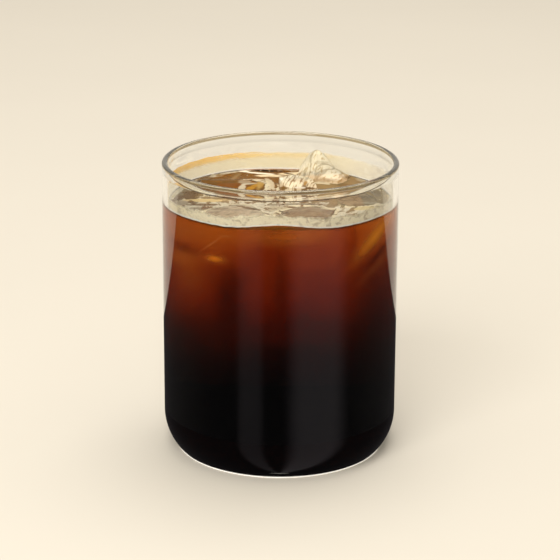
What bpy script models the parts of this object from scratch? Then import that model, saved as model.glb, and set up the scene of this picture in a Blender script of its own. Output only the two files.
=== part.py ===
"""Iced americano in a clear, straight-sided glass tumbler.

Metres, +Z up. The origin is the centre of the glass's foot, and the foot stands on z = 0.
The glass, the coffee, each floating piece of ice and the ring of fine foam on the inner wall
are separate closed solids, a hair's breadth apart.
"""

import math

import bmesh
import bpy
from mathutils import Matrix, Vector, noise

MM = 0.001

# Glass tumbler
GLASS_RADIUS = 40.0 * MM
GLASS_HEIGHT = 101.0 * MM
WALL = 1.8 * MM
FLOOR_TOP = 3.0 * MM            # top of the glass's floor, inside
HEEL_HEIGHT = 12.4 * MM         # where the wall starts to turn in
HEEL_RADIUS = 18.0 * MM         # outer radius of that turn
HEEL_INNER_REACH = 8.5 * MM     # how far in the inner turn runs along the floor
HEEL_INNER_RISE = 10.0 * MM     # how far up the inner turn runs along the wall
FOOT_BAND = 0.45 * MM           # height of the upright band that ends the turn at the foot
FOOT_CHAMFER = 0.1 * MM         # between that band and the foot ring
FOOT_RING_WIDTH = 3.0 * MM
PUNT_RISE = 0.8 * MM            # the underside inside the foot ring stands this much clear
PUNT_SLOPE = 2.0 * MM

# Coffee
GAP = 0.3 * MM                  # between any two solids that touch in the real drink
LEVEL = 86.9 * MM
MENISCUS_RISE = 0.7 * MM        # how far the coffee climbs at the glass
MENISCUS_REACH = 1.3 * MM       # how quickly that climb dies away from the wall
MENISCUS_START = 6.0 * MM       # the surface is flat further in than this
FRONT_BUMP = 1.7 * MM           # how much further it climbs at the front, where ice pushes it
FRONT_BUMP_WIDTH = math.radians(17.0)
THREE_WAVES = 0.12 * MM         # unevenness of the contact line, in three waves and in seven
SEVEN_WAVES = 0.08 * MM

# Foam ring left on the inner wall
FOAM_TOP = 93.9 * MM
FOAM_BOTTOM = 88.2 * MM         # before it follows the contact line
FOAM_THICKNESS = 0.8 * MM
FOAM_TOP_WAVE = 0.35 * MM

# Ice: name, centre x, centre y, height above the coffee, width, length, depth, yaw in degrees
ICE_PIECES = (
    ("ice_left", -16.2, 14.0, 2.0, 25.5, 21.5, 21.0, 4.0),
    ("ice_centre", 5.7, 12.0, 4.2, 12.5, 16.5, 20.0, 10.0),
    ("ice_back", 15.3, 25.5, 3.2, 18.0, 12.0, 17.0, -25.0),
    ("ice_right", 26.0, 1.6, 1.6, 15.0, 21.5, 19.0, 6.0),
    ("ice_front_left", -15.0, -17.6, 1.5, 20.5, 18.5, 18.0, 32.0),
    ("ice_front_right", 9.6, -16.0, 1.8, 20.5, 17.0, 20.0, -16.0),
)
ICE_CUTS = 5                    # each side of a block is divided this many times
ICE_ROUNDING = 0.42             # 0 is a square block, 1 a ball
ICE_MELT = 1.1 * MM             # depth of the hollows that melting leaves
ICE_MELT_SIZE = 11.0 * MM       # width of those hollows
PEAK_PIECE = "ice_back"
PEAK_PLACE = Vector((12.6 * MM, 28.0 * MM))
PEAK_RISE = 7.4 * MM
PEAK_SPREAD = 5.2 * MM

SEGMENTS = 72                   # sides of every turned piece
FULL_TURN = 2.0 * math.pi

GLASS_COLOUR = (0.93, 0.95, 0.94)
COFFEE_COLOUR = (0.10, 0.032, 0.010)
ICE_COLOUR = (0.88, 0.90, 0.90)
FOAM_COLOUR = (0.76, 0.62, 0.36)


def clear_scene():
    """Remove every object, so that the model starts from nothing."""
    for thing in list(bpy.data.objects):
        bpy.data.objects.remove(thing, do_unlink=True)


def make_material(name, colour, roughness, alpha=1.0):
    """A Principled material of one colour."""
    material = bpy.data.materials.new(name)
    material.use_nodes = True
    shader = material.node_tree.nodes["Principled BSDF"]
    shader.inputs["Base Color"].default_value = (*colour, 1.0)
    shader.inputs["Roughness"].default_value = roughness
    shader.inputs["Metallic"].default_value = 0.0
    shader.inputs["Alpha"].default_value = alpha
    material.diffuse_color = (*colour, alpha)
    return material


def finish(name, mesh_data, material):
    """Turn a bmesh into a named, smooth-shaded object with outward faces."""
    bmesh.ops.recalc_face_normals(mesh_data, faces=mesh_data.faces)
    mesh = bpy.data.meshes.new(name)
    mesh_data.to_mesh(mesh)
    mesh_data.free()
    mesh.materials.append(material)
    mesh.shade_smooth()
    mesh.set_sharp_from_angle(angle=math.radians(40.0))
    piece = bpy.data.objects.new(name, mesh)
    bpy.context.collection.objects.link(piece)
    return piece


def arc(centre, radius_r, radius_z, start, end, steps):
    """Points (r, z) on an elliptical arc, both ends included; angles in degrees from +r."""
    points = []
    for step in range(steps + 1):
        angle = math.radians(start + (end - start) * step / steps)
        r = centre[0] + radius_r * math.cos(angle)
        z = centre[1] + radius_z * math.sin(angle)
        points.append((r, z))
    return points


def turn(profile, closed):
    """Spin a profile of (r, z) points about Z into a closed solid."""
    shape = bmesh.new()
    verts = [shape.verts.new((r, 0.0, z)) for r, z in profile]
    edges = [shape.edges.new(pair) for pair in zip(verts, verts[1:])]
    if closed:
        edges.append(shape.edges.new((verts[-1], verts[0])))
    bmesh.ops.spin(
        shape, geom=verts + edges, cent=(0, 0, 0), axis=(0, 0, 1),
        angle=FULL_TURN, steps=SEGMENTS, use_merge=True)
    bmesh.ops.remove_doubles(shape, verts=shape.verts, dist=0.01 * MM)
    return shape


def glass_profile():
    """The tumbler's section, from the middle of the underside round to the floor inside."""
    heel_centre = (GLASS_RADIUS - HEEL_RADIUS, HEEL_HEIGHT)
    heel_end = -math.asin((HEEL_HEIGHT - FOOT_BAND) / HEEL_RADIUS)
    foot_radius = heel_centre[0] + HEEL_RADIUS * math.cos(heel_end)
    ring_inner = foot_radius - FOOT_RING_WIDTH
    inner_radius = GLASS_RADIUS - WALL
    rim_round = WALL / 2
    inner_heel = (inner_radius - HEEL_INNER_REACH, FLOOR_TOP + HEEL_INNER_RISE)
    rim_centre = (GLASS_RADIUS - rim_round, GLASS_HEIGHT - rim_round)

    profile = [(0.0, PUNT_RISE), (ring_inner - PUNT_SLOPE, PUNT_RISE), (ring_inner, 0.0)]
    profile += [(foot_radius - FOOT_CHAMFER, 0.0), (foot_radius, FOOT_CHAMFER)]
    profile += arc(heel_centre, HEEL_RADIUS, HEEL_RADIUS, math.degrees(heel_end), 0.0, 9)
    profile += arc(rim_centre, rim_round, rim_round, 0.0, 180.0, 8)
    profile += arc(inner_heel, HEEL_INNER_REACH, HEEL_INNER_RISE, 0.0, -90.0, 9)
    profile.append((0.0, FLOOR_TOP))
    return profile


def contact_rise(point):
    """How far the coffee climbs the glass at this side; most at the front."""
    side = math.atan2(point.y, point.x)
    front = (side + math.pi / 2) / FRONT_BUMP_WIDTH
    uneven = THREE_WAVES * math.sin(3.0 * side + 1.0) + SEVEN_WAVES * math.sin(7.0 * side)
    return MENISCUS_RISE + FRONT_BUMP * math.exp(-front ** 2) + uneven


def coffee_profile():
    """The coffee's section: the glass's inside less the gap, closely divided at the wall."""
    radius = GLASS_RADIUS - WALL - GAP
    heel = (GLASS_RADIUS - WALL - HEEL_INNER_REACH, FLOOR_TOP + HEEL_INNER_RISE)
    reach = HEEL_INNER_REACH - GAP
    rise = HEEL_INNER_RISE - GAP
    profile = [(0.0, FLOOR_TOP + GAP)]
    profile += arc(heel, reach, rise, -90.0, 0.0, 8)
    steps = 6
    for step in range(steps + 1):
        inset = MENISCUS_START * (step / steps) ** 2
        profile.append((radius - inset, LEVEL))
    profile.append((0.0, LEVEL))
    return profile


def raise_meniscus(shape):
    """Let the coffee's surface climb where it meets the glass."""
    inner_radius = GLASS_RADIUS - WALL
    for vert in shape.verts:
        inset = inner_radius - vert.co.xy.length
        if vert.co.z > LEVEL - GAP and inset < MENISCUS_START:
            vert.co.z += contact_rise(vert.co) * math.exp(-inset / MENISCUS_REACH)


def foam_profile():
    """The foam ring's section: a thin skin with rounded edges, thicker at its foot."""
    outer = GLASS_RADIUS - WALL - GAP
    inner_low = outer - FOAM_THICKNESS
    inner_high = outer - FOAM_THICKNESS / 2
    middle = (FOAM_BOTTOM + FOAM_TOP) / 2
    return [
        (outer, FOAM_BOTTOM), (outer, middle), (outer, FOAM_TOP),
        (inner_high, FOAM_TOP - FOAM_THICKNESS / 4),
        (inner_low, middle), (inner_low, FOAM_BOTTOM + FOAM_THICKNESS / 4),
    ]


def fit_foam_ring(shape):
    """Stand the ring on the contact line, and let its top edge rise and fall a little."""
    for vert in shape.verts:
        up = (vert.co.z - FOAM_BOTTOM) / (FOAM_TOP - FOAM_BOTTOM)
        around = math.atan2(vert.co.y, vert.co.x)
        wave = FOAM_TOP_WAVE * (math.sin(3.0 * around + 0.6) + math.sin(7.0 * around)) / 2
        foot = LEVEL + contact_rise(vert.co) + GAP
        vert.co.z = foot + up * (FOAM_TOP + wave - foot)


def ice_block(row, seed, grow=0.0):
    """One melted block of ice: a cube rounded towards a ball, dimpled, turned and placed."""
    name, x, y, above, width, length, depth, yaw = row
    half = Vector((width, length, depth)) * MM / 2
    place = Vector((x * MM, y * MM, LEVEL + above * MM - half.z))
    turned = Matrix.Rotation(math.radians(yaw), 3, "Z")
    tilted = Matrix.Rotation(math.radians(4.0 - 2.0 * seed), 3, "Y")

    shape = bmesh.new()
    bmesh.ops.create_cube(shape, size=2.0)
    bmesh.ops.subdivide_edges(shape, edges=shape.edges, cuts=ICE_CUTS, use_grid_fill=True)
    for vert in shape.verts:
        ball = vert.co.normalized() * 1.16
        rounded = vert.co.lerp(ball, ICE_ROUNDING)
        local = Vector([rounded[i] * half[i] for i in range(3)])
        hollow = noise.noise(local / ICE_MELT_SIZE + Vector((seed * 7.3, 0.0, 0.0)))
        local -= local.normalized() * ICE_MELT * (0.5 + hollow)
        vert.co = turned @ (tilted @ local) + place
        if name == PEAK_PIECE and vert.co.z > LEVEL:
            away = (vert.co.xy - PEAK_PLACE).length / PEAK_SPREAD
            vert.co.z += PEAK_RISE * math.exp(-away ** 2)
    bmesh.ops.recalc_face_normals(shape, faces=shape.faces)
    shape.normal_update()
    for vert in shape.verts:
        vert.co += vert.normal * grow
    bmesh.ops.triangulate(shape, faces=shape.faces)
    return shape


def cut_ice_pockets(coffee, pockets):
    """Take the ice, with its gap, out of the coffee."""
    for pocket in pockets:
        pocket.hide_render = True
        pocket.display_type = "WIRE"
        cut = coffee.modifiers.new("cut_" + pocket.name, "BOOLEAN")
        cut.operation = "DIFFERENCE"
        cut.object = pocket


def main():
    clear_scene()
    glass = make_material("glass", GLASS_COLOUR, 0.02, 0.3)
    coffee = make_material("coffee", COFFEE_COLOUR, 0.03, 0.95)
    ice = make_material("ice", ICE_COLOUR, 0.05, 0.4)
    foam = make_material("foam", FOAM_COLOUR, 0.6)

    finish("glass", turn(glass_profile(), closed=False), glass)

    fill = turn(coffee_profile(), closed=False)
    raise_meniscus(fill)
    drink = finish("coffee", fill, coffee)

    ring = turn(foam_profile(), closed=True)
    fit_foam_ring(ring)
    finish("foam_ring", ring, foam)

    pockets = []
    for seed, row in enumerate(ICE_PIECES):
        finish(row[0], ice_block(row, seed), ice)
        pockets.append(finish(row[0] + "_pocket", ice_block(row, seed, grow=GAP), ice))
    cut_ice_pockets(drink, pockets)


main()
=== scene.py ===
"""Looks of an iced americano in a clear, straight-sided tumbler: glass, coffee, melted ice and
the ring of fine foam that the coffee left on the inner wall, on a plain pale floor."""

import math
import random

import bmesh
import bpy
from mathutils import Matrix, Vector, noise
from mathutils.bvhtree import BVHTree


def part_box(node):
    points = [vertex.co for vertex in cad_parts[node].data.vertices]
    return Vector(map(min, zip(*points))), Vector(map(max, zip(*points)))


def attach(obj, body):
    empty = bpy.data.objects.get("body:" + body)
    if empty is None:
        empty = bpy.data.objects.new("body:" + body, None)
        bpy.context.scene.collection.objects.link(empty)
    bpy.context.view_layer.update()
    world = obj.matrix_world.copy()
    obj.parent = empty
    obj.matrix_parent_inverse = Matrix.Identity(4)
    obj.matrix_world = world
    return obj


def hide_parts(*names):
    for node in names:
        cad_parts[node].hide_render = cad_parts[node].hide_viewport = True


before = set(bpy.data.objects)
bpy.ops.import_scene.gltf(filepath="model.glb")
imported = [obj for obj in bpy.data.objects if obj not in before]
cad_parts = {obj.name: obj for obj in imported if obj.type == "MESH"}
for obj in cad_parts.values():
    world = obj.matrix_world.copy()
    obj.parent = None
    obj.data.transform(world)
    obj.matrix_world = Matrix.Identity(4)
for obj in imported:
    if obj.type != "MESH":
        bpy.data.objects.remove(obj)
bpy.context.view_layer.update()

bl_info = {
    "name": "Iced Americano",
    "version": (1, 0, 0),
    "blender": (4, 5, 0),
    "location": "3D View > Sidebar > Americano",
    "description": "Builds and finishes an iced americano in a tumbler",
    "category": "Object",
}

MM = 0.001
_, GLASS_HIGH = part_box("glass")
BODY = "root"
AROUND = 256

# Refractive indices. Ice hardly bends the light that comes to it through coffee.
GLASS_BENDS = 1.5
WATER_BENDS = 1.333
ICE_BENDS = 1.31
SUNK_ICE_BENDS = 1.01
POCKET_BENDS = 1.013
BUBBLE_BENDS = 1.33


def length(name, text, millimetres):
    """A length property, given in millimetres."""
    return bpy.props.FloatProperty(
        name=name, description=text, default=millimetres * MM, unit="LENGTH", precision=5)


def colour(name, text, default):
    """A colour property."""
    return bpy.props.FloatVectorProperty(
        name=name, description=text, default=default, subtype="COLOR", size=3, min=0.0, max=1.0)


def angle(name, text, degrees):
    """An angle property."""
    return bpy.props.FloatProperty(
        name=name, description=text, default=math.radians(degrees), subtype="ANGLE")


class TumblerSettings(bpy.types.PropertyGroup):
    radius: length("Radius", "Outer radius of the tumbler", GLASS_HIGH.x / MM)
    height: length("Height", "Height of the rim above the foot", GLASS_HIGH.z / MM)
    wall: length("Wall", "Thickness of the wall", 1.8)
    floor_top: length("Floor", "Height of the glass floor's top", 3.0)
    heel_height: length("Heel height", "Where the wall starts to turn in", 12.4)
    heel_radius: length("Heel radius", "Radius of the outer turn", 18.0)
    heel_reach: length("Inner heel reach", "How far in the inner turn runs", 8.5)
    heel_rise: length("Inner heel rise", "How far up the inner turn runs", 10.0)
    foot_band: length("Foot band", "Height of the ground band that ends the heel", 0.45)
    foot_chamfer: length("Foot chamfer", "Between that band and the foot ring", 0.1)
    foot_ring: length("Foot ring", "Width of the ring that it stands on", 3.0)
    bead_height: length("Bead height", "Height of the thicker bead at the rim", 3.2)
    bead: length("Bead", "How far the bead stands in from the wall", 0.22)
    punt_rise: length("Punt", "How far the underside is hollowed", 0.8)
    punt_slope: length("Punt slope", "Width of the step up to the punt", 2.0)
    tint: colour("Tint", "Colour of the glass", (0.985, 0.99, 0.975))
    ground: colour("Ground edge", "Colour of the foot's ground edge", (0.97, 0.96, 0.93))
    rim_tint: colour("Rim tint", "Colour of the rounded rim's crown", (0.94, 0.87, 0.68))
    # Painted shade: the colour of the dark lines painted on the rim's two edges.
    painted_edge_shade: colour("Edge tint", "Colour of the rim's two edges", (0.24, 0.17, 0.07))


class CoffeeSettings(bpy.types.PropertyGroup):
    level: length("Level", "Height of the coffee's surface", 86.9)
    overlap: length("Overlap", "How far the coffee reaches into the wall", 0.12)
    floor_overlap: length("Floor overlap", "How far it reaches into the glass floor", 0.65)
    meniscus_rise: length("Meniscus", "How far the coffee climbs at the glass", 0.7)
    meniscus_reach: length("Meniscus reach", "How quickly that climb dies away", 1.3)
    bump_rise: length("Front bump", "How much further it climbs at the front", 1.7)
    ice_meniscus: length("Meniscus on ice", "How far the coffee climbs at the ice", 0.7)
    ice_reach: length("Reach on ice", "How quickly that climb dies away", 1.1)
    top: colour("Top", "Colour of the thin coffee at the top", (0.56, 0.185, 0.026))
    middle: colour("Middle", "Colour half-way down", (0.30, 0.062, 0.010))
    # Painted shade: the coffee is darkened towards this colour at the bottom.
    bottom: colour("Bottom", "Colour of the strong coffee at the bottom", (0.003, 0.001, 0.0008))
    surface: colour("Surface", "Colour of the coffee seen from above", (0.17, 0.076, 0.010))
    thin_foam: colour("Thin foam", "Colour where fine foam clouds it", (0.30, 0.22, 0.105))
    light: colour("Light let through", "What a metre-scale depth lets through", (0.72, 0.36, 0.05))
    # Painted shade: below this height the coffee is painted an opaque near-black.
    painted_dark_below: length("Strong below", "Height under which no light passes", 14.0)
    density: bpy.props.FloatProperty(
        name="Strength", description="How fast the coffee darkens with depth, per metre",
        default=40.0)


class IceSettings(bpy.types.PropertyGroup):
    cuts: bpy.props.IntProperty(
        name="Cuts", description="How often each side of a block is divided", default=21)
    rounding: bpy.props.FloatProperty(
        name="Rounding", description="0 is a square block, 1 a ball", default=0.42)
    melt: length("Melt", "Depth of the hollows that melting leaves", 1.1)
    melt_size: length("Melt size", "Width of those hollows", 11.0)
    ripple: length("Ripple", "Depth of the fine ripples on the ice", 0.22)
    ripple_size: length("Ripple size", "Width of the fine ripples", 3.2)
    tint: colour("Tint", "Colour of the ice", (0.985, 0.98, 0.96))


class FoamSettings(bpy.types.PropertyGroup):
    top: length("Top", "Height of the foam's upper edge", 93.9)
    bottom: length("Bottom", "Height of the foam's lower edge", 87.3)
    gap: length("Gap", "Air between foam and glass", 0.02)
    thickness: length("Thickness", "Thickness of the foam at its foot", 0.35)
    wave: length("Wave", "How far the upper edge rises and falls", 0.35)
    cream: colour("Cream", "Colour of the fine foam", (0.96, 0.87, 0.66))
    # Painted highlight: white is painted along the foam's foot where it meets the coffee.
    white: colour("White", "Colour of the wet foam at the coffee's edge", (1.0, 0.98, 0.90))
    yellow: colour("Yellow", "Colour of the foam that has dried", (0.87, 0.70, 0.25))
    tide: colour("Tide line", "Colour of the dried edge", (1.0, 0.60, 0.03))


class StageSettings(bpy.types.PropertyGroup):
    floor: colour("Floor", "Colour of the floor", (0.650, 0.611, 0.540))
    air: colour("Surroundings", "Colour of the bright surroundings", (0.81, 0.76, 0.675))
    mirrored_from: length("Mirrored from", "Where the floor that glass mirrors begins", 130.0)
    distance: length("Camera distance", "From the camera to the object's middle", 761.0)
    elevation: angle("Camera elevation", "Height of the camera above the horizon", 18.63)
    roll: angle("Camera roll", "How far the camera leans to one side", 0.24)
    aim_above: angle("Aim", "How far above the object's middle the camera aims", 0.564)
    lens: bpy.props.FloatProperty(
        name="Lens", description="Focal length of the camera in millimetres", default=142.3)


class Value:
    """A number, place or colour that a node puts out. Arithmetic on a number adds Math nodes."""

    def __init__(self, socket):
        self.socket = socket
        self.tree = socket.id_data

    def math(self, operation, *others, clamp=False):
        made = self.tree.nodes.new("ShaderNodeMath")
        feed(made, operation=operation, use_clamp=clamp)
        for slot, value in zip(made.inputs, (self, *others)):
            set_input(slot, value)
        return Value(made.outputs[0])

    def __add__(self, other):
        return self.math("ADD", other)

    def __sub__(self, other):
        return self.math("SUBTRACT", other)

    def __mul__(self, other):
        return self.math("MULTIPLY", other)

    def __neg__(self):
        return self.math("MULTIPLY", -1.0)

    def __abs__(self):
        return self.math("ABSOLUTE")

    def larger(self, other):
        return self.math("MAXIMUM", other)

    def blend(self, first, second):
        """first where this is 0 and second where it is 1."""
        return self.math("MULTIPLY_ADD", second - first, first)

    def step(self, start, end, top=1.0):
        """0 at start and top at end, smooth between them; start may be the larger."""
        return node_value(self.tree, "MapRange", "Result", interpolation_type="SMOOTHSTEP",
                          Value=self, From_Min=start, From_Max=end, To_Max=top)


def set_input(socket, value):
    """Give an input a number, a place, a colour of three channels or another node's Value."""
    if isinstance(value, Value):
        socket.id_data.links.new(value.socket, socket)
    elif socket.type == "RGBA":
        socket.default_value = (*value, 1.0)
    else:
        socket.default_value = value


def feed(node, **given):
    """Set a node's properties, in small letters, and its inputs, with _ for a space."""
    for name, value in given.items():
        if name.islower():
            setattr(node, name, value)
        else:
            set_input(node.inputs[name.replace("_", " ")], value)


def node_value(tree, kind, output, **given):
    """What a new shader node of this kind puts out."""
    made = tree.nodes.new("ShaderNode" + kind)
    feed(made, **given)
    return Value(made.outputs[output])


def new_material(name):
    """A material with nodes, and its Principled shader."""
    material = bpy.data.materials.new(name)
    material.use_nodes = True
    return material, material.node_tree.nodes["Principled BSDF"]


def scaled(shade, share):
    """A colour, darker or brighter."""
    return tuple(share * channel for channel in shade)


def ramp(factor, *stops):
    """A colour ramp over stops of (place, colour)."""
    made = node_value(factor.tree, "ValToRGB", "Color", Fac=factor)
    band = made.socket.node.color_ramp.elements
    while len(band) < len(stops):
        band.new(0.5)
    for element, (place, shade) in zip(band, stops):
        element.position = place
        element.color = (*shade, 1.0)
    return made


def mix_shades(factor, first, second):
    """The first colour where factor is 0 and the second where it is 1."""
    made = node_value(factor.tree, "Mix", 2, data_type="RGBA", Factor=factor)
    set_input(made.socket.node.inputs[6], first)
    set_input(made.socket.node.inputs[7], second)
    return made


def split(vector):
    """A vector's x, y and z."""
    first = node_value(vector.tree, "SeparateXYZ", 0, Vector=vector)
    return [Value(part) for part in first.socket.node.outputs]


def object_place(shader):
    """The point's own place: its vector, and its x, y and z."""
    place = node_value(shader.id_data, "TexCoord", "Object")
    return place, *split(place)


def from_axis(x, y):
    """Distance from the Z axis."""
    return (x * x + y * y).math("SQRT")


def stretched(place, turned, stretch):
    """A place drawn out along Z and along a direction turned about Z by degrees, for streaks."""
    return node_value(
        place.tree, "Mapping", 0, vector_type="TEXTURE", Vector=place,
        Rotation=(0.0, 0.0, math.radians(turned)), Scale=(stretch, 1.0, stretch))


def own_value(tree, name):
    """A value kept with the piece's own vertices."""
    return node_value(tree, "Attribute", "Fac", attribute_name=name)


def noise_texture(place, scale, detail=3, roughness=0.5, distortion=0.0):
    """A noise texture's value."""
    return node_value(place.tree, "TexNoise", "Fac", Vector=place, Scale=scale, Detail=detail,
                      Roughness=roughness, Distortion=distortion)


def bump(shader, height, strength, distance):
    """Feed a height into a shader's normal."""
    feed(shader, Normal=node_value(height.tree, "Bump", "Normal", Height=height,
                                   Strength=strength, Distance=distance))


def soft_spot(x, y, x_mm, y_mm, along, across, slant):
    """A soft, slanted ellipse in the plane of x and y: 1 in its middle, fading to 0."""
    turn_x, turn_y = math.cos(math.radians(slant)), math.sin(math.radians(slant))
    right = x - x_mm * MM
    up = y - y_mm * MM
    lengthways = right * (turn_x / (along * MM)) + up * (turn_y / (along * MM))
    sideways = right * (-turn_y / (across * MM)) + up * (turn_x / (across * MM))
    return (-(lengthways * lengthways + sideways * sideways)).math("EXPONENT")


def drift_spot(x, y, grain, *spot):
    """A soft spot that a grain breaks up, with a clear edge."""
    return (soft_spot(x, y, *spot) * grain.blend(-0.2, 2.2)).step(0.25, 0.55)


# Tones of the ice, the froth and the coffee between them.
DARK = (0.07, 0.035, 0.012)
BROWN = (0.13, 0.068, 0.020)
AMBER_BROWN = (0.42, 0.22, 0.03)
GREY_BROWN = (0.33, 0.26, 0.155)
DULL_BROWN = (0.19, 0.14, 0.085)
GREY_CREAM = (0.52, 0.46, 0.33)
PALE_FROTH = (0.62, 0.54, 0.37)
CREAM = (0.88, 0.77, 0.53)
# A painted highlight, for wet edges.
HIGHLIGHT_WHITE = (1.0, 0.95, 0.80)
FULL_WHITE = (1.0, 1.0, 1.0)

# Each piece's wet top: its main tone, the tone of its streaks, how much they cover, the streaks'
# turn in degrees, how much longer than wide they are, the noise level where they start, and the
# refractive index that sets how strongly the top mirrors.
ICE_FINISH = {
    "ice_left": (BROWN, (0.25, 0.1, 0.010), 0.9, 0, 8, 0.52, 1.04),
    "ice_centre": ((0.78, 0.7, 0.5), (0.32, 0.21, 0.1), 0.85, 80, 9, 0.5, 1.1),
    "ice_back": ((0.95, 0.88, 0.68), (0.6, 0.47, 0.26), 0.6, 60, 3, 0.54, 1.1),
    "ice_right": (GREY_BROWN, (0.19, 0.14, 0.08), 0.68, -15, 2, 0.5, 1.06),
    "ice_front_left": (GREY_CREAM, (0.33, 0.27, 0.18), 0.7, 20, 3, 0.52, 1.06),
    "ice_front_right": (GREY_BROWN, (0.22, 0.16, 0.1), 0.68, -10, 3, 0.5, 1.06),
}
# Drifts, edges and painted highlights on those tops: x and y of the middle, half length and half
# width in millimetres, slant in degrees, strength and tone. y is where a line that rises towards
# the back by LEAN meets the coffee's level, so that a drift keeps its place where a top slopes.
LEAN = 2.97
ICE_SPOTS = {
    "ice_left": (
        (-17, 17, 7, 2.6, 0, 0.75, (0.18, 0.062, 0.012)),
        (-24, 18, 4.5, 2.5, 90, 0.75, BROWN),
        (-20.7, 13.9, 3, 1.1, 0, 0.65, BROWN),
        (-18, 9.5, 7, 1.6, 0, 0.65, GREY_CREAM),
        (-12.4, 21.5, 2.2, 2.6, 0, 0.4, GREY_CREAM),
        (-13.2, 14, 5.5, 1.2, 82, 0.9, GREY_CREAM),
        (-9.6, 15, 6.5, 1.3, 66, 0.9, AMBER_BROWN),
        (-10.6, 19.2, 3, 1, 25, 0.8, GREY_CREAM),
        (-10, 28.5, 2.4, 3.4, 0, 0.85, AMBER_BROWN),
        (-6.6, 22, 10, 1.3, 84, 0.85, (0.44, 0.28, 0.08)),
        (-4.4, 24, 4.5, 0.8, 95, 0.7, AMBER_BROWN),
        (-2.6, 22, 14, 1.3, 92, 0.95, HIGHLIGHT_WHITE),
        (-9, 31, 9, 0.9, 0, 0.9, HIGHLIGHT_WHITE),
    ),
    "ice_centre": (
        (4, 34, 2, 1.6, -40, 0.85, BROWN),
        (7.6, 31.5, 1.6, 1.2, -30, 0.8, BROWN),
        (8.6, 19.5, 2.6, 0.7, 85, 0.7, AMBER_BROWN),
        (-0.3, 23.5, 3.5, 1.3, 80, 0.8, HIGHLIGHT_WHITE),
        (0.3, 13.4, 2.8, 2.2, 0, 0.9, (0.2, 0.11, 0.025)),
        (10.1, 13.2, 2.2, 1.3, 0, 0.85, BROWN),
        (6.7, 13.6, 1.8, 1, 0, 0.8, HIGHLIGHT_WHITE),
    ),
    "ice_back": (
        (24, 27, 9, 0.9, 110, 0.65, AMBER_BROWN),
        (14, 44, 2.5, 2, 0, 0.5, GREY_CREAM),
        (15.5, 24.4, 4.5, 2.2, 0, 0.65, GREY_CREAM),
    ),
    "ice_right": (
        (30.2, -3, 3, 1.2, 0, 0.6, GREY_CREAM),
        (28.5, 4.6, 4, 1.5, 0, 0.6, DULL_BROWN),
    ),
    "ice_front_left": (
        (-10.4, -5.6, 4, 1.2, 0, 0.8, CREAM),
        (-10.3, -10, 5, 1.1, -35, 0.85, BROWN),
        (-20, -10.8, 4, 1.6, 0, 0.7, DULL_BROWN),
    ),
    "ice_front_right": ((16.6, -9.9, 3.5, 1.4, 6, 0.8, CREAM),),
}


def set_clear(shader, ior):
    """Make a shader let light through."""
    feed(shader, Transmission_Weight=1.0, IOR=ior, Roughness=0.0)


# Painted reflections of the rim: fine lines round the inside of the wall below its front: how far
# below the rim and half width in millimetres, strength, tone, and how much light they hold back.
LINE_DARK = (0.05, 0.03, 0.015)
PAINTED_RIM_REFLECTIONS = (
    (0.95, 0.2, 1.0, LINE_DARK, 0.0),
    (1.5, 0.16, 0.8, (1.0, 0.95, 0.82), 0.6),
    (3.0, 0.17, 0.9, (1.0, 0.95, 0.8), 0.7),
    (3.55, 0.26, 1.0, LINE_DARK, 0.0),
)


def glass_material(size):
    """Clear glass, faintly wavy; its thick rim tinted, with painted shade on its two edges."""
    material, shader = new_material("tumbler_glass")
    set_clear(shader, GLASS_BENDS)
    place, x, y, height = object_place(shader)
    lip = (size.wall + size.bead) / 2
    rim = height.step(size.height - 1.2 * MM, size.height - 0.9 * MM)
    off_crown = from_axis(x, y) - (size.radius - lip)
    # Painted shade on the rim's two edges, and a tint on its crown.
    edge = abs(off_crown).step(0.55 * lip, 0.85 * lip)
    shade = mix_shades(rim, size.tint, mix_shades(edge, size.rim_tint, size.painted_edge_shade))
    clear = rim.blend(1.0, 0.93)
    front = y.step(0.0, -0.75 * size.radius)
    inside = off_crown.step(0.2 * MM, -0.2 * MM) * front.step(0.05, 0.3)
    # Paint the rim's reflections as dark and pale lines on the front of the inner wall.
    for drop, half, strength, tone, held_back in PAINTED_RIM_REFLECTIONS:
        away = abs(front * (drop * MM) + height - size.height)
        line = away.step(half * MM, 0.4 * half * MM) * (inside * strength)
        shade = mix_shades(line, shade, tone)
        clear = clear - line * held_back
    feed(shader, Base_Color=shade, Transmission_Weight=clear)
    bump(shader, noise_texture(place, 60, detail=1), 0.05, 0.2 * MM)
    return material


def wetted_glass_material(size):
    """The inside of the glass where coffee wets it, which hardly shines."""
    material, shader = new_material("wetted_glass")
    set_clear(shader, GLASS_BENDS)
    feed(shader, Base_Color=size.tint, Specular_Tint=(0.05, 0.05, 0.05))
    return material


def glowing_foot_material(size):
    """The foot's outer edge, ground white, with a faint painted glow for its bright line."""
    material, shader = new_material("ground_foot_painted_glow")
    scuffs = noise_texture(object_place(shader)[0], 900)
    shade = ramp(scuffs, (0.35, scaled(size.ground, 0.8)), (0.6, size.ground))
    feed(shader, Base_Color=shade, Roughness=0.6)
    # Painted light: a faint glow, though the foot is no lamp.
    feed(shader, Emission_Color=(1.0, 0.97, 0.90), Emission_Strength=0.35)
    bump(shader, scuffs, 0.3, 0.05 * MM)
    return material


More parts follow.
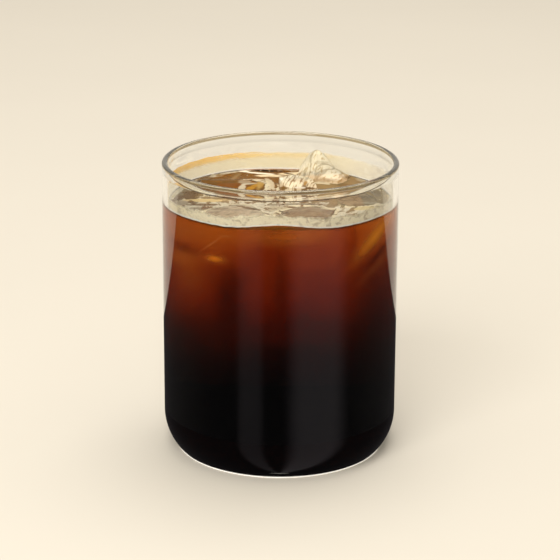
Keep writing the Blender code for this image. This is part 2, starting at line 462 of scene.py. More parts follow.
# Painted highlights and shadows in the coffee behind the front wall: as ICE_SPOTS, with z for y.
COPPER = (0.62, 0.15, 0.012)
PALE = (0.75, 0.40, 0.14)
SHADOW = (0.010, 0.002, 0.001)
PAINTED_COFFEE_GLINTS_AND_SHADOWS = (
    (-31, 83, 7, 3.6, 20, 0.3, COPPER),
    (-31, 73.5, 6.5, 4, 15, 0.38, (0.8, 0.24, 0.012)),
    (-21, 76.2, 3.2, 1.3, 4, 0.75, (0.9, 0.3, 0.015)),
    (-22.3, 80.8, 4.4, 0.3, 43, 0.35, PALE),
    (-17.4, 84.5, 2.2, 0.35, 4, 0.28, PALE),
    (30.4, 81.2, 8, 2.4, 46, 0.92, (0.98, 0.37, 0.025)),
    (32, 75, 5.5, 1, 42, 0.6, SHADOW),
    (30.8, 70.6, 6, 1.5, 36, 0.5, (0.75, 0.21, 0.012)),
    (1, 85.6, 11, 2.8, 0, 0.5, COPPER),
    (-15.5, 68, 7, 4.2, 80, 0.5, SHADOW),
    (0.5, 69, 11, 2.6, 90, 0.4, SHADOW),
    (-31, 77, 3.6, 1.6, 0, 0.35, SHADOW),
    (31.5, 54, 20, 9.5, 90, 0.84, SHADOW),
    (-16.5, 61, 9, 4.4, 90, 0.5, SHADOW),
    (-29.5, 67, 8, 5, 70, 0.22, COPPER),
)

# Drifts on the coffee's surface, with a painted highlight and a painted dark line: as ICE_SPOTS,
# with y taken as it is. A tone whose channels add up to more than FROTHY counts as froth, which
# hides the coffee; a darker one only darkens it.
FROTHY = 1.0
SURFACE_DRIFTS = (
    (-25, -0.4, 7.5, 2, 0, 1.0, (0.56, 0.42, 0.2)),
    (-33.5, -4.2, 2.8, 3.2, 0, 0.75, DULL_BROWN),
    (-26.8, 20.5, 9, 3, 80, 0.85, BROWN),
    (-3.5, 30.6, 5.5, 1.8, 0, 0.8, CREAM),
    (-3.6, 19.5, 8.5, 1.5, 98, 0.85, PALE_FROTH),
    # Painted highlight along the wet edge of the ice.
    (-9.5, 34.3, 8.5, 0.9, -11, 0.95, HIGHLIGHT_WHITE),
    (5, 33.6, 6.5, 1.8, 8, 0.9, CREAM),
    (3, 33.4, 2.2, 0.8, -35, 0.9, DARK),
    (7.4, 32, 1.9, 0.7, -35, 0.85, DARK),
    # Painted shade: a dark line at the back, for the wet top edge of the ice.
    (-4.5, 36.5, 6.5, 0.9, 0, 1.0, (0.02, 0.011, 0.005)),
    (29, 25, 4, 2, -30, 0.6, GREY_CREAM),
    (24, 17, 5.5, 3, 5, 0.5, BROWN),
    (32.5, 9.5, 6, 2.6, 100, 0.65, DULL_BROWN),
    (0, 8.4, 3, 1.8, 0, 0.75, BROWN),
    (4, 4.3, 9, 1.5, 2, 0.85, DULL_BROWN),
    (-17, 3.6, 10, 1.2, -2, 0.8, GREY_CREAM),
    (-3, 0.2, 7.5, 1.3, 4, 0.9, PALE_FROTH),
    (-16.5, -5, 5, 1.3, -4, 0.8, GREY_CREAM),
    (20.5, -6.3, 3.5, 1.5, 6, 0.75, (0.2, 0.13, 0.045)),
    (13.5, 0.3, 3.5, 1.3, -6, 0.75, DULL_BROWN),
    (5, -5, 11, 1.5, 3, 0.85, DULL_BROWN),
    (-1.5, -10.2, 4.5, 3, 0, 0.7, GREY_BROWN),
    (-26, -5.5, 5.5, 1.5, 0, 0.9, BROWN),
    (-25, -10.6, 5, 1.7, -8, 0.8, DULL_BROWN),
    (33, -6, 3.5, 1.4, 8, 0.8, GREY_CREAM),
    (28.5, -9.8, 4.5, 1.5, 10, 0.8, (0.5, 0.4, 0.2)),
)


def coffee_top(place, x, y, radius, inner, coffee, foam):
    """The coffee's surface: brown and glossy, with froth along the glass and round the ice, and
    streaky froth all over its front part. Returns its shade and how frothy it is."""
    around = y.math("ARCTAN2", x) * (8 * MM)
    ring = node_value(place.tree, "CombineXYZ", 0, X=radius, Y=around)
    streaks = noise_texture(ring, 420, detail=4, roughness=0.6)
    drifts = noise_texture(place, 70, distortion=0.8)
    fine = noise_texture(place, 1400, detail=2, roughness=0.7)

    right = x.step(4 * MM, 12 * MM)
    shade = mix_shades(right.larger(drifts.step(0.50, 0.62)), coffee.surface, coffee.thin_foam)

    forward = y.step(5 * MM, -5 * MM)
    often_by_wall = forward.larger(x.step(6 * MM, -4 * MM) * 0.8).blend(0.35, 0.85)
    by_wall = radius.step(inner - 2.8 * MM, inner - 1.2 * MM) * often_by_wall
    by_ice = own_value(place.tree, "near_ice").step(1.5 * MM, 0.5 * MM)
    amount = (forward * right.blend(0.74, 0.54)).larger(by_wall).larger(by_ice * 0.72)
    quiet = x.step(15 * MM, 20 * MM) * y.step(-9 * MM, -4 * MM)
    amount = amount - quiet * 0.55 + streaks.blend(-1.3, 1.3)
    froth = amount.step(0.42, 0.72)
    tone = ramp(fine, (0.35, scaled(foam.cream, 0.40)), (0.62, scaled(foam.cream, 0.66)))
    shade = mix_shades(froth, shade, mix_shades(by_ice, tone, PALE_FROTH))
    for *spot, strength, tone in SURFACE_DRIFTS:
        drift = drift_spot(x, y, streaks, *spot) * strength
        shade = mix_shades(drift, shade, tone)
        if sum(tone) > FROTHY:
            froth = froth.larger(drift)
    return shade, froth


def swirled(place):
    """The slow swirls in the coffee."""
    return noise_texture(place, 55, detail=2, distortion=0.6)


def coffee_side(place, height, coffee):
    """The coffee behind the wall: amber at the top, with painted shade that darkens it downwards.
    """
    share = (swirled(place) * (16 * MM) + height).math("DIVIDE", 100 * MM, clamp=True)
    bottom, middle, top = coffee.bottom, coffee.middle, coffee.top
    return ramp(
        share, (0.22, scaled(bottom, 0.05)), (0.34, bottom), (0.38, scaled(bottom, 2.5)),
        (0.45, scaled(middle, 0.12)), (0.54, scaled(middle, 0.62)), (0.70, middle),
        (0.80, scaled(top, 0.8)), (0.95, top))


def coffee_material(size, coffee, foam):
    """Thin amber coffee under the ice, painted dark low down, with painted glints and shadows."""
    material, shader = new_material("coffee_liquid")
    set_clear(shader, WATER_BENDS)
    place, x, y, height = object_place(shader)
    inner = inner_radius(size)
    radius = from_axis(x, y)

    # The surface, the part against the glass, and the pockets that the ice floats in.
    in_wall = radius.step(inner - 0.45 * MM, inner - 0.25 * MM)
    hidden = in_wall.larger(height.step(16 * MM, 14 * MM))
    open_side = hidden.blend(1.0, 0.0)
    surface = open_side * height.step(coffee.level - 0.30 * MM, coffee.level - 0.10 * MM)
    pocket = open_side - surface
    front = y.step(-4 * MM, -9 * MM) * in_wall

    side = coffee_side(place, height, coffee)
    # Painted shade: a dark line in the coffee just under where it meets the glass, left and right.
    edge = own_value(place.tree, "below_contact").step(1.1 * MM, 0.2 * MM)
    edge = edge * abs(x).step(11 * MM, 17 * MM) * 0.85
    side = mix_shades(edge, side, (0.012, 0.004, 0.001))
    top, froth = coffee_top(place, x, y, radius, inner, coffee, foam)
    shade = mix_shades(pocket, mix_shades(surface, side, top), FULL_WHITE)
    cloudy = surface * froth.blend(0.70, 1.05)
    # Paint highlights and shadows on the coffee behind the front of the wall.
    for *spot, strength, tone in PAINTED_COFFEE_GLINTS_AND_SHADOWS:
        painted_spot = soft_spot(x, height, *spot) * front * strength
        if tone is SHADOW:
            # A painted shadow only dims the light that passes, which goes with the tone's square
            # root.
            painted_spot = painted_spot * painted_spot.blend(2.0, 1.0)
        else:
            cloudy = cloudy.larger(painted_spot)
        shade = mix_shades(painted_spot, shade, tone)
    feed(shader, Base_Color=shade, Transmission_Weight=cloudy.blend(1.0, 0.15))
    feed(shader, IOR=surface * -0.26 + pocket.blend(WATER_BENDS, POCKET_BENDS))
    feed(shader, Roughness=(surface * froth).blend(0.0, 0.45))
    feed(shader, Specular_Tint=mix_shades(hidden, FULL_WHITE, (0.03, 0.03, 0.03)))

    absorbed = node_value(
        place.tree, "VolumeAbsorption", "Volume", Color=coffee.light, Density=coffee.density)
    feed(place.tree.nodes["Material Output"], Volume=absorbed)
    return material


def painted_dark_coffee_material(coffee):
    """Coffee at the very bottom: painted shade, an opaque, dull near-black."""
    material, shader = new_material("coffee_painted_dark")
    swirl = swirled(object_place(shader)[0])
    shade = ramp(swirl, (0.3, scaled(coffee.bottom, 0.5)), (0.7, coffee.bottom))
    feed(shader, Base_Color=shade, Roughness=1.0, Specular_IOR_Level=0.0)
    return material


def veins(place, scale, width):
    """1 along thin wandering lines, and 0 between them."""
    return abs(noise_texture(place, scale, distortion=0.5) - 0.5).step(width, 0.3 * width)


def ice_material(name, ice, level):
    """Wet ice: clear in the coffee, clouded, streaked and with painted highlights above it."""
    material, shader = new_material(name)
    set_clear(shader, ICE_BENDS)
    place, x, y, height = object_place(shader)
    main, streak, cover, turned, stretch, edge, mirror = ICE_FINISH[name]
    above = height.step(level - 0.25 * MM, level + 0.05 * MM)
    feed(shader, IOR=above.blend(SUNK_ICE_BENDS, mirror))

    drawn = stretched(place, turned, stretch)
    grain = noise_texture(drawn, 1100, detail=4, roughness=0.6, distortion=0.4)
    shade = mix_shades(grain.step(edge, edge + 0.12), main, streak)
    shade = mix_shades(veins(drawn, 120.0, 0.025) * 0.5, shade, scaled(streak, 0.45))
    leaning = (height - level) * LEAN + y
    # Some of the spots are painted highlights on wet edges.
    for *spot, strength, tone in ICE_SPOTS[name]:
        shade = mix_shades(drift_spot(x, leaning, grain, *spot) * strength, shade, tone)
    depths = noise_texture(place, 240, detail=4, roughness=0.6, distortion=0.8)
    clouds = depths.step(0.30, 0.65).blend(0.7 * cover, cover) * above
    shade = mix_shades(above, ice.tint, shade)
    feed(shader, Base_Color=shade, Transmission_Weight=clouds.blend(1.0, 0.0))
    bump(shader, noise_texture(place, 420, detail=2), 0.25, 0.25 * MM)
    return material


def foam_material(size, foam):
    """Fine pale foam, half see-through, that dries to an amber line at its upper edge."""
    material, shader = new_material("coffee_foam")
    feed(shader, Roughness=0.5, IOR=BUBBLE_BENDS)
    place, x, y, height = object_place(shader)
    climb = own_value(place.tree, "above_contact")
    patches = noise_texture(place, 150, detail=4, roughness=0.6)
    blots = noise_texture(place, 330, detail=4, roughness=0.65, distortion=0.5)

    # The tide line is strongest at the back left and fades to nothing at the front.
    backward = y * (0.83 / size.radius) + x * (-0.55 / size.radius)
    dried = backward.step(-0.3, 0.75)
    tall = foam.top - foam.bottom
    ragged = patches.blend(-0.5, 0.5) * dried.blend(5.5 * MM, 1.5 * MM)
    up = (climb + ragged).math("DIVIDE", tall)
    amber = (up - dried.blend(1.2, 0.50)).step(0.0, 0.30) * dried
    amber = amber * x.step(3 * MM, -24 * MM).blend(0.4, 1.0)
    shade = mix_shades(dried, foam.cream, foam.yellow)
    shade = mix_shades(amber, shade, foam.tide)
    blot = blots.step(0.50, 0.64) * 0.9 * dried.blend(1.0, 0.0)
    shade = mix_shades(blot, shade, (0.55, 0.45, 0.30))
    # Painted highlight: the foam's lowest band, where it meets the coffee, is painted white.
    shade = mix_shades(climb.step(0.75 * MM, 0.30 * MM), shade, foam.white)

    front = y.step(0.02 * size.radius, -0.32 * size.radius)
    amber = amber * front.blend(1.0, 0.0)
    fade = (up + front * 0.42).step(1.02, 0.80).larger(amber * 0.9)
    fade = fade * climb.step(tall + 0.6 * MM, tall)
    cover = fade * front.blend(0.24, 0.90) + amber * 0.26
    cover = cover * blots.step(0.44, 0.30).blend(1.0, 0.72)
    feed(shader, Base_Color=shade, Alpha=cover)
    cells = node_value(place.tree, "TexVoronoi", "Distance", Vector=place, Scale=900.0)
    bump(shader, cells, 0.25, 0.2 * MM)
    return material


def bubble_material(foam):
    """The thin skins of small bubbles: clear in the middle and creamy at the edge."""
    material, shader = new_material("foam_bubble_skin")
    tone = noise_texture(object_place(shader)[0], 300, detail=1)
    facing = node_value(tone.tree, "LayerWeight", "Facing")
    feed(shader, Roughness=0.12, IOR=BUBBLE_BENDS, Alpha=facing.blend(0.22, 0.97))
    feed(shader, Base_Color=ramp(tone, (0.35, foam.yellow), (0.6, foam.cream)))
    return material


def floor_material(stage):
    """A plain pale floor with the faintest grain."""
    material, shader = new_material("pale_floor")
    grain = noise_texture(object_place(shader)[0], 8, detail=4)
    shade = ramp(grain, (0.3, scaled(stage.floor, 0.985)), (0.7, stage.floor))
    feed(shader, Base_Color=shade, Roughness=0.9, Specular_IOR_Level=0.1)
    return material


def arc(centre, radius_r, radius_z, start, end, steps):
    """Points (r, z) on an elliptical arc, both ends included; angles in degrees from +r."""
    points = []
    for step in range(steps + 1):
        angle = math.radians(start + (end - start) * step / steps)
        points.append((centre[0] + radius_r * math.cos(angle),
                       centre[1] + radius_z * math.sin(angle)))
    return points


def turn(profile, steps, closed=False):
    """Spin a profile of (r, z) points about Z into a closed solid with outward faces."""
    shape = bmesh.new()
    verts = [shape.verts.new((r, 0.0, z)) for r, z in profile]
    edges = [shape.edges.new(pair) for pair in zip(verts, verts[1:])]
    if closed:
        edges.append(shape.edges.new((verts[-1], verts[0])))
    bmesh.ops.spin(
        shape, geom=verts + edges, cent=(0, 0, 0), axis=(0, 0, 1),
        angle=math.tau, steps=steps, use_merge=True)
    bmesh.ops.remove_doubles(shape, verts=shape.verts, dist=0.002 * MM)
    bmesh.ops.recalc_face_normals(shape, faces=shape.faces)
    return shape


def new_object(name, shape):
    """Turn a bmesh into an object at the origin."""
    mesh = bpy.data.meshes.new(name)
    shape.to_mesh(mesh)
    shape.free()
    made = bpy.data.objects.new(name, mesh)
    bpy.context.scene.collection.objects.link(made)
    return made


def finish_piece(name, shape, *materials, sharp=60.0):
    """Turn a bmesh into a smooth-shaded object that rides on the body."""
    piece = new_object(name, shape)
    for material in materials:
        piece.data.materials.append(material)
    piece.data.shade_smooth()
    piece.data.set_sharp_from_angle(angle=math.radians(sharp))
    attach(piece, BODY)
    return piece


def inner_radius(size):
    """The radius of the tumbler's inside."""
    return size.radius - size.wall


def inner_heel(size):
    """The middle (r, z) of the turn between the wall and the floor inside."""
    return inner_radius(size) - size.heel_reach, size.floor_top + size.heel_rise


def glass_profile(size):
    """The tumbler's section, from the middle of the underside round to the floor inside."""
    hold = 0.25 * MM
    heel = (size.radius - size.heel_radius, size.heel_height)
    heel_end = -math.asin((size.heel_height - size.foot_band) / size.heel_radius)
    foot = heel[0] + size.heel_radius * math.cos(heel_end)
    ring = foot - size.foot_ring
    inner = inner_radius(size)
    lip = (size.wall + size.bead) / 2
    turn_in = inner_heel(size)
    rim = (size.radius - lip, size.height - lip)
    bead_foot = size.height - size.bead_height
    wet_line = 87 * MM

    profile = [(0.0, size.punt_rise), (ring - size.punt_slope, size.punt_rise)]
    profile += [(ring, 0.0), (ring + hold, 0.0)]
    profile += [(foot - size.foot_chamfer, 0.0), (foot, size.foot_chamfer)]
    profile += arc(heel, size.heel_radius, size.heel_radius, math.degrees(heel_end), 0.0, 24)
    profile += [(size.radius, heel[1] + hold), (size.radius, rim[1] - hold)]
    profile += arc(rim, lip, lip, 0.0, 180.0, 20)
    profile += [(inner - size.bead, rim[1] - hold), (inner - size.bead, bead_foot + hold)]
    # The second point keeps the shading of the bead's step from running down the wall.
    profile += [(inner, bead_foot - hold), (inner, bead_foot - 2.0 * hold)]
    profile += [(inner, wet_line), (inner, turn_in[1] + hold)]
    profile += arc(turn_in, size.heel_reach, size.heel_rise, 0.0, -90.0, 28)
    profile += [(turn_in[0] - hold, size.floor_top), (0.0, size.floor_top)]
    return profile


def contact_rise(coffee, place):
    """How far the coffee climbs the glass at this side; most at the front."""
    side = math.atan2(place.y, place.x)
    bump_width = math.radians(17)
    front = (side + math.pi / 2) / bump_width
    uneven = 0.12 * math.sin(3.0 * side + 1.0) + 0.08 * math.sin(7.0 * side)
    return coffee.meniscus_rise + coffee.bump_rise * math.exp(-front * front) + uneven * MM


def contact_height(coffee, place):
    """The height at which coffee and glass part at this side."""
    return coffee.level + contact_rise(coffee, place)


def nearest(trees, place):
    """The distance to the nearest of several shapes."""
    return min(tree.find_nearest(place)[3] for tree in trees)


def coffee_profile(size, coffee):
    """The coffee's section, from the middle of its floor up the wall and in over its surface."""
    into = coffee.overlap
    under = coffee.floor_overlap
    inner = inner_radius(size)
    heel = inner_heel(size)
    profile = [(0.0, size.floor_top - under)]
    profile += arc(heel, size.heel_reach + into, size.heel_rise + under, -90.0, 0.0, 28)
    profile += [(inner + into, heel[1] + 0.25 * MM), (inner + into, coffee.level - 6 * MM)]
    profile += [(inner + into, coffee.level)]
    steps = 64
    crowding = 1.7
    for step in range(steps):
        profile.append((inner * (1.0 - (step / steps) ** crowding), coffee.level))
    profile.append((0.0, coffee.level))
    return profile


# Each floating piece: centre x, centre y, height above the coffee, width, length, depth (all in
# millimetres) and yaw in degrees.
ICE_PIECES = {
    "ice_left": (-16.2, 14, 2, 25.5, 21.5, 21, 4),
    "ice_centre": (5.7, 12, 4.2, 12.5, 16.5, 20, 10),
    "ice_back": (15.3, 25.5, 3.2, 18, 12, 17, -25),
    "ice_right": (26, 1.6, 1.6, 15, 21.5, 19, 6),
    "ice_front_left": (-15, -17.6, 1.5, 20.5, 18.5, 18, 32),
    "ice_front_right": (9.6, -16, 1.8, 20.5, 17, 20, -16),
}
PEAK_PIECE = "ice_back"
PEAK_PLACE = Vector((12.6 * MM, 28 * MM))
PEAK_RISE = 7.4 * MM
PEAK_SPREAD = 5.2 * MM
BALL_SIZE = 1.16
POCKET_GROWTH = -0.04 * MM


def ice_block(name, ice, level, grow=0.0):
    """One melted block of ice: a cube rounded towards a ball, dimpled, rippled and placed."""
    x, y, above, width, length_y, depth, yaw = ICE_PIECES[name]
    seed = list(ICE_PIECES).index(name)
    half = Vector((width, length_y, depth)) * MM / 2
    place = Vector((x * MM, y * MM, level + above * MM - half.z))
    turned = Matrix.Rotation(math.radians(yaw), 3, "Z")
    tilted = Matrix.Rotation(math.radians(4.0 - 2.0 * seed), 3, "Y")
    shift = Vector((seed * 7.3, 0.0, 0.0))

    shape = bmesh.new()
    bmesh.ops.create_cube(shape, size=2.0)
    bmesh.ops.subdivide_edges(shape, edges=shape.edges, cuts=ice.cuts, use_grid_fill=True)
    for vert in shape.verts:
        ball = vert.co.normalized() * BALL_SIZE
        rounded = vert.co.lerp(ball, ice.rounding)
        local = Vector([rounded[i] * half[i] for i in range(3)])
        hollow = noise.noise(local / ice.melt_size + shift)
        fine = noise.noise(local / ice.ripple_size + shift * 2.0)
        local -= local.normalized() * (ice.melt * (0.5 + hollow) + ice.ripple * fine)
        vert.co = turned @ (tilted @ local) + place
        if name == PEAK_PIECE and vert.co.z > level:
            away = (vert.co.xy - PEAK_PLACE).length / PEAK_SPREAD
            vert.co.z += PEAK_RISE * math.exp(-away ** 2)
    bmesh.ops.recalc_face_normals(shape, faces=shape.faces)
    shape.normal_update()
    for vert in shape.verts:
        vert.co += vert.normal * grow
    return shape


def keep_value(piece, name, measure):
    """Keep a measure of each of a piece's vertices with it, for its material to read."""
    kept = piece.data.attributes.new(name, "FLOAT", "POINT")
    kept.data.foreach_set("value", [measure(vert.co) for vert in piece.data.vertices])


def cut_out(piece, cutters):
    """Cut closed shapes out of a piece, and drop the cutters."""
    for cutter in cutters:
        cut = piece.modifiers.new(cutter.name, "BOOLEAN")
        cut.operation = "DIFFERENCE"
        cut.object = cutter
    graph = bpy.context.evaluated_depsgraph_get()
    cut_mesh = bpy.data.meshes.new_from_object(piece.evaluated_get(graph))
    piece.modifiers.clear()
    piece.data = cut_mesh
    for cutter in cutters:
        bpy.data.objects.remove(cutter, do_unlink=True)


class AMERICANO_OT_tumbler(bpy.types.Operator):
    """Build the clear tumbler"""
    bl_idname = "americano.tumbler"
    bl_label = "Tumbler"

    def execute(self, context):
        size = context.scene.tumbler
        level = context.scene.coffee.level
        shape = turn(glass_profile(size), AROUND)
        slack = 0.01 * MM
        reach = inner_radius(size) + slack
        foot_edge = max(v.co.xy.length for v in shape.verts if v.co.z < slack)
        for face in shape.faces:
            middle = face.calc_center_median()
            away = middle.xy.length
            inward = face.normal.xy.dot(middle.xy) <= 0.0
            if size.floor_top - 0.1 * MM < middle.z < level and away < reach and inward:
                face.material_index = 1
            elif middle.z < size.foot_band and away > foot_edge:
                face.material_index = 2
        piece = finish_piece("tumbler", shape, glass_material(size),
                             wetted_glass_material(size), glowing_foot_material(size))
        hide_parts("glass")
        return {"FINISHED"}


class AMERICANO_OT_floating_ice(bpy.types.Operator):
    """Build the pieces of ice that float at the top"""
    bl_idname = "americano.floating_ice"
    bl_label = "Floating ice"

    def execute(self, context):
        scene = context.scene
        for name in ICE_PIECES:
            material = ice_material(name, scene.ice, scene.coffee.level)
            shape = ice_block(name, scene.ice, scene.coffee.level)
            piece = finish_piece(name + "_melted", shape, material)
            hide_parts(name)
        return {"FINISHED"}


def shape_surface(shape, size, coffee, trees):
    """Raise the coffee's surface where it climbs the glass and the ice, and ripple its front."""
    lump_rise, lump_size, lumps_fade = 0.14 * MM, 2.2 * MM, 8 * MM
    for vert in shape.verts:
        if vert.co.z > coffee.level - 0.01 * MM:
            flat = Vector((vert.co.x, vert.co.y, coffee.level))
            near = nearest(trees, flat)
            inset = max(0.0, inner_radius(size) - flat.xy.length)
            climb = contact_rise(coffee, flat)
            vert.co.z += climb * math.exp(-inset / coffee.meniscus_reach)
            vert.co.z += coffee.ice_meniscus * math.exp(-near / coffee.ice_reach)
            forward = max(0.0, min(1.0, -flat.y / lumps_fade))
            vert.co.z += lump_rise * noise.noise(flat / lump_size) * forward


class AMERICANO_OT_coffee(bpy.types.Operator):
    """Fill the tumbler with coffee, cut round the ice"""
    bl_idname = "americano.coffee"
    bl_label = "Coffee"

    def execute(self, context):
        scene = context.scene
        coffee = scene.coffee
        shape = turn(coffee_profile(scene.tumbler, coffee), AROUND)
        trees = []
        for name in ICE_PIECES:
            block = ice_block(name, scene.ice, coffee.level)
            trees.append(BVHTree.FromBMesh(block))
            block.free()
        shape_surface(shape, scene.tumbler, coffee, trees)
        # Painted shade: faces low down take the opaque near-black material.
        for face in shape.faces:
            if max(vert.co.z for vert in face.verts) < coffee.painted_dark_below:
                face.material_index = 1
        liquid = coffee_material(scene.tumbler, coffee, scene.foam)
        piece = finish_piece("coffee_fill", shape, liquid, painted_dark_coffee_material(coffee))
        cut_out(piece, [
            new_object(name + "_pocket", ice_block(name, scene.ice, coffee.level, POCKET_GROWTH))
            for name in ICE_PIECES])
        lowest = coffee.level - 0.5 * MM
        keep_value(piece, "near_ice", lambda at: nearest(trees, at) if at.z > lowest else 1.0)
        keep_value(piece, "below_contact", lambda at: contact_height(coffee, at) - at.z)
        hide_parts("coffee")
        return {"FINISHED"}


def foam_profile(size, foam):
    """The foam ring's section: a thin skin that is thicker at its foot."""
    outer = inner_radius(size) - foam.gap
    tall = foam.top - foam.bottom
    steps = 12
    profile = [(outer, foam.bottom), (outer, foam.top)]
    for step in range(steps + 1):
        down = step / steps
        thick = foam.thickness * (0.25 + 0.75 * math.sqrt(down))
        if step == 0:
            thick = foam.thickness * 0.12
        profile.append((outer - thick, foam.top - tall * down))
    return profile


class AMERICANO_OT_foam(bpy.types.Operator):
    """Leave a ring of fine foam on the inner wall"""
    bl_idname = "americano.foam"
    bl_label = "Foam ring"

    def execute(self, context):
        scene = context.scene
        foam = scene.foam
        coffee = scene.coffee
        shape = turn(foam_profile(scene.tumbler, foam), 360, closed=True)
        tall = foam.top - foam.bottom
        dip, ragged_rise, ragged_size = 0.1 * MM, 0.35 * MM, 4 * MM
        for vert in shape.verts:
            up = (vert.co.z - foam.bottom) / tall
            foot = contact_height(coffee, vert.co) - dip
            vert.co.z += (1.0 - up) * (foot - foam.bottom)
            around = math.atan2(vert.co.y, vert.co.x)
            wave = foam.wave * (math.sin(3.0 * around + 0.6) + math.sin(7.0 * around)) / 2
            ragged = ragged_rise * noise.noise(vert.co / ragged_size)
            vert.co.z += up * (wave + ragged)
        piece = finish_piece("foam_film", shape, foam_material(scene.tumbler, foam))
        keep_value(piece, "above_contact", lambda at: at.z - contact_height(coffee, at))
        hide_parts("foam_ring")
        return {"FINISHED"}


BUBBLES = 1400
BUBBLE_SEED = 11
BUBBLE_TRIES = 60000
LARGE_SHARE = 0.12
BY_WALL_SHARE = 0.45
LONE_SHARE = 0.03
RAFT_SIZE = 9 * MM


def bubble_places(dice, surface, inner, level):
    """Where bubbles float: (place, radius), along the wall and in loose rafts."""
    found = []
    tries = 0
    while len(found) < BUBBLES and tries < BUBBLE_TRIES:
        tries += 1
        radius = dice.uniform(0.10, 0.24) * MM
        if dice.random() < LARGE_SHARE:
            radius *= dice.uniform(1.4, 2.2)
        kind = dice.random()
        side = dice.gauss(-math.pi / 2, 0.95)
        if kind < BY_WALL_SHARE:
            reach = inner - radius - abs(dice.gauss(0.0, 0.9)) * MM
        else:
            side = dice.uniform(-math.pi, math.pi)
            reach = inner * math.sqrt(dice.random())
        x, y = reach * math.cos(side), reach * math.sin(side)
        above = Vector((x, y, level + 12 * MM))
        spot = surface.ray_cast(above, Vector((0.0, 0.0, -1.0)))[0]
        if spot is None or spot.z <= level - 0.05 * MM:
            continue
        if kind >= BY_WALL_SHARE:
            raft = y < 0.0 and noise.noise(Vector((x, y, 0.0)) / RAFT_SIZE) > 0.28
            if not (raft or dice.random() < LONE_SHARE):
                continue
        found.append((spot + Vector((0.0, 0.0, radius * 0.25)), radius))
    return found


class AMERICANO_OT_bubbles(bpy.types.Operator):
    """Float small bubbles on the coffee"""
    bl_idname = "americano.bubbles"
    bl_label = "Bubbles"

    def execute(self, context):
        scene = context.scene
        liquid = bmesh.new()
        liquid.from_mesh(bpy.data.objects["coffee_fill"].data)
        surface = BVHTree.FromBMesh(liquid)
        liquid.free()
        dice = random.Random(BUBBLE_SEED)
        shape = bmesh.new()
        inner = inner_radius(scene.tumbler)
        for spot, radius in bubble_places(dice, surface, inner, scene.coffee.level):
            bmesh.ops.create_icosphere(
                shape, subdivisions=1, radius=radius, matrix=Matrix.Translation(spot))
        piece = finish_piece("foam_bubbles", shape, bubble_material(scene.foam), sharp=180.0)
        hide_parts("foam_ring")
        return {"FINISHED"}


# The two soft lamps: name, place, width, height and power.
LAMPS = (
    ("overhead", (0.1, 0.35, 1.3), 0.8, 0.8, 7.0),
    ("front_fill", (-0.35, -1.02, 0.95), 0.9, 0.7, 14.0),
)
LAMP_TARGET = Vector((0.0, 0.0, 0.06))
LAMP_SHADE = (1.0, 0.97, 0.92)


def add_lamp(name, place, width, height, power):
    """A soft rectangular lamp that faces the tumbler."""
    data = bpy.data.lights.new(name, "AREA")
    data.shape = "RECTANGLE"
    data.size = width
    data.size_y = height
    data.energy = power
    data.color = LAMP_SHADE
    lamp = bpy.data.objects.new(name, data)
    lamp.location = place
    lamp.rotation_euler = (LAMP_TARGET - Vector(place)).to_track_quat("-Z", "Y").to_euler()
    bpy.context.scene.collection.objects.link(lamp)


def add_camera(stage):
    """The camera, a little above the rim, looking down at the middle of the tumbler."""
    data = bpy.data.cameras.new("view")
    data.sensor_width = 36.0
    data.lens = stage.lens
    camera = bpy.data.objects.new("view", data)
    middle = Vector((0.0, 0.0, GLASS_HIGH.z / 2))
    back = Vector((0.0, -math.cos(stage.elevation), math.sin(stage.elevation)))
    camera.location = middle + back * stage.distance
    aim = stage.elevation - stage.aim_above
    tilted = Matrix.Rotation(math.pi / 2 - aim, 3, "X")
    camera.rotation_euler = (tilted @ Matrix.Rotation(stage.roll, 3, "Z")).to_euler()
    bpy.context.scene.collection.objects.link(camera)
    bpy.context.scene.camera = camera


# The soft windows low in the room: middle and half width in degrees from the front, and how
# bright; and the light of the dim room round them.
WINDOWS = ((-29, 11, 0.135), (38, 24, 0.27))
ROOM_LIGHT = 0.035


def add_world(stage):
    """Bright, even surroundings above, and a dim room with two soft windows below the table."""
    world = bpy.data.worlds.new("room")
    bpy.context.scene.world = world
    world.use_nodes = True
    tree = world.node_tree
    x, y, z = split(node_value(tree, "TexCoord", "Generated"))
    azimuth = x.math("ARCTAN2", -y)
    light = ROOM_LIGHT
    for centre, half, bright in WINDOWS:
        away = abs(azimuth - math.radians(centre))
        window = away.step(math.radians(half * 1.5), math.radians(half * 0.6), bright)
        light = window + light
    below = node_value(
        tree, "CombineColor", "Color", Red=light, Green=light * 0.90, Blue=light * 0.93)
    room = mix_shades(z.step(-0.16, -0.08), below, stage.air)
    feed(tree.nodes["Background"], Color=room)


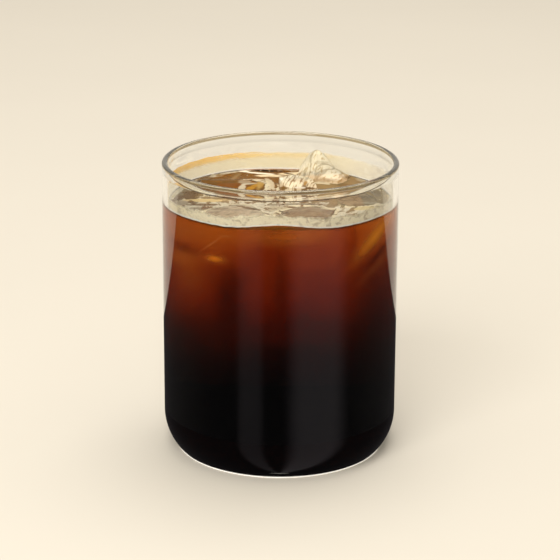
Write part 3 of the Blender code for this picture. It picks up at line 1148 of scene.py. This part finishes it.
def add_floor(stage):
    """A wide pale floor; polished pieces mirror only the part of it behind them."""
    material = floor_material(stage)
    for name, near in (("floor", True), ("floor_behind", False)):
        shape = bmesh.new()
        bmesh.ops.create_circle(shape, cap_ends=True, segments=96, radius=4.0)
        bmesh.ops.bisect_plane(
            shape, geom=shape.verts[:] + shape.edges[:] + shape.faces[:],
            plane_co=(0.0, stage.mirrored_from, 0.0), plane_no=(0.0, 1.0, 0.0),
            clear_outer=near, clear_inner=not near)
        floor = new_object(name, shape)
        floor.data.materials.append(material)
        floor.visible_glossy = not near


class AMERICANO_OT_stage(bpy.types.Operator):
    """Set up the floor, the soft light and the camera"""
    bl_idname = "americano.stage"
    bl_label = "Stage"

    def execute(self, context):
        scene = context.scene
        add_floor(scene.stage)
        add_world(scene.stage)
        for lamp in LAMPS:
            add_lamp(*lamp)
        add_camera(scene.stage)
        scene.view_settings.view_transform = "Standard"
        scene.cycles.max_bounces = 32
        scene.cycles.transmission_bounces = 32
        scene.cycles.glossy_bounces = 12
        scene.cycles.transparent_max_bounces = 16
        return {"FINISHED"}


class AMERICANO_PT_panel(bpy.types.Panel):
    """Lists the steps that build the drink"""
    bl_label = "Iced americano"
    bl_idname = "AMERICANO_PT_panel"
    bl_space_type = "VIEW_3D"
    bl_region_type = "UI"
    bl_category = "Americano"

    def draw(self, context):
        for step in STEPS:
            self.layout.operator(step.bl_idname)


SETTINGS = {
    "tumbler": TumblerSettings, "coffee": CoffeeSettings, "ice": IceSettings,
    "foam": FoamSettings, "stage": StageSettings,
}
STEPS = (
    AMERICANO_OT_stage, AMERICANO_OT_tumbler, AMERICANO_OT_floating_ice,
    AMERICANO_OT_coffee, AMERICANO_OT_foam, AMERICANO_OT_bubbles,
)


def register():
    for name, group in SETTINGS.items():
        bpy.utils.register_class(group)
        setattr(bpy.types.Scene, name, bpy.props.PointerProperty(type=group))
    for shown in (*STEPS, AMERICANO_PT_panel):
        bpy.utils.register_class(shown)


def unregister():
    for shown in (AMERICANO_PT_panel, *reversed(STEPS)):
        bpy.utils.unregister_class(shown)
    for name, group in SETTINGS.items():
        delattr(bpy.types.Scene, name)
        bpy.utils.unregister_class(group)


def main():
    """Build every piece in order."""
    register()
    bpy.ops.americano.stage()
    bpy.ops.americano.tumbler()
    bpy.ops.americano.floating_ice()
    bpy.ops.americano.coffee()
    bpy.ops.americano.foam()
    bpy.ops.americano.bubbles()
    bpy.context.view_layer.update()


if __name__ == "__main__":
    main()
